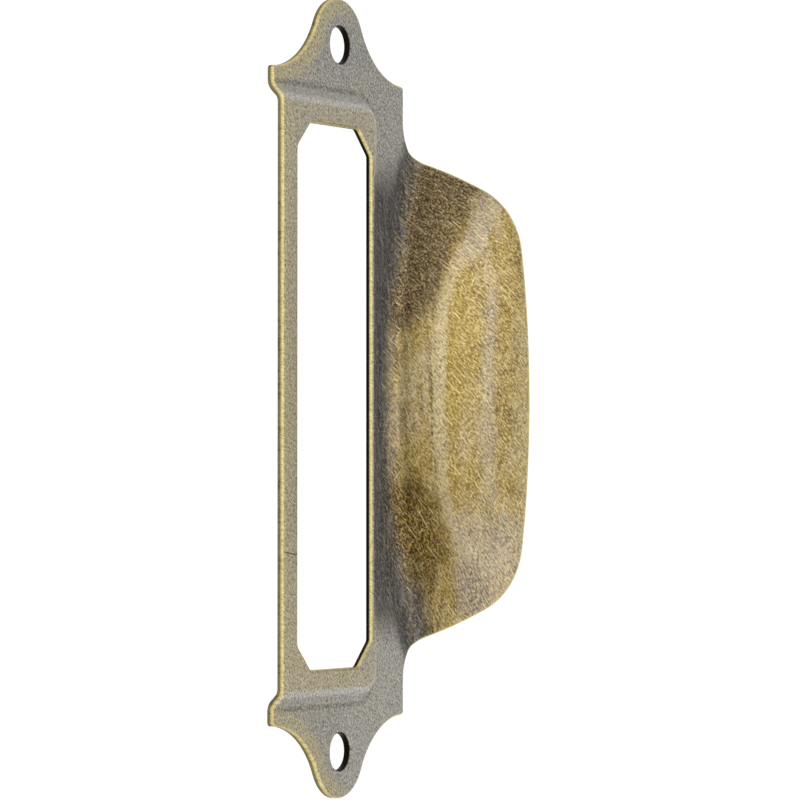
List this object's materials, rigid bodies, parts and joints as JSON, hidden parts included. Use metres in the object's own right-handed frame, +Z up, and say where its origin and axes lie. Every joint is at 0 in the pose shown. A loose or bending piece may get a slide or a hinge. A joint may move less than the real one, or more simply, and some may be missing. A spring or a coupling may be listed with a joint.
{
  "type": "label frame pull",
  "caption": "Drawer pull pressed from one brass sheet: a raised window frame that holds a card, a curved finger cup below it, and a screw hole in each scalloped ear.",
  "frame": {"origin": "midway between the two screw holes, on the plane of the back that lies on the drawer front", "axes": "+X along the pull, +Z up the drawer front with the window above the finger cup, -Y out of the drawer towards the user"},
  "size_m": [0.0862, 0.0143, 0.0327],
  "materials": {
    "brass": "antiqued: darkened, then rubbed back to yellow brass on edges and high places"
  },
  "bodies": {
    "root": {"label_frame_pull": "brass"}
  },
  "joints": []
}
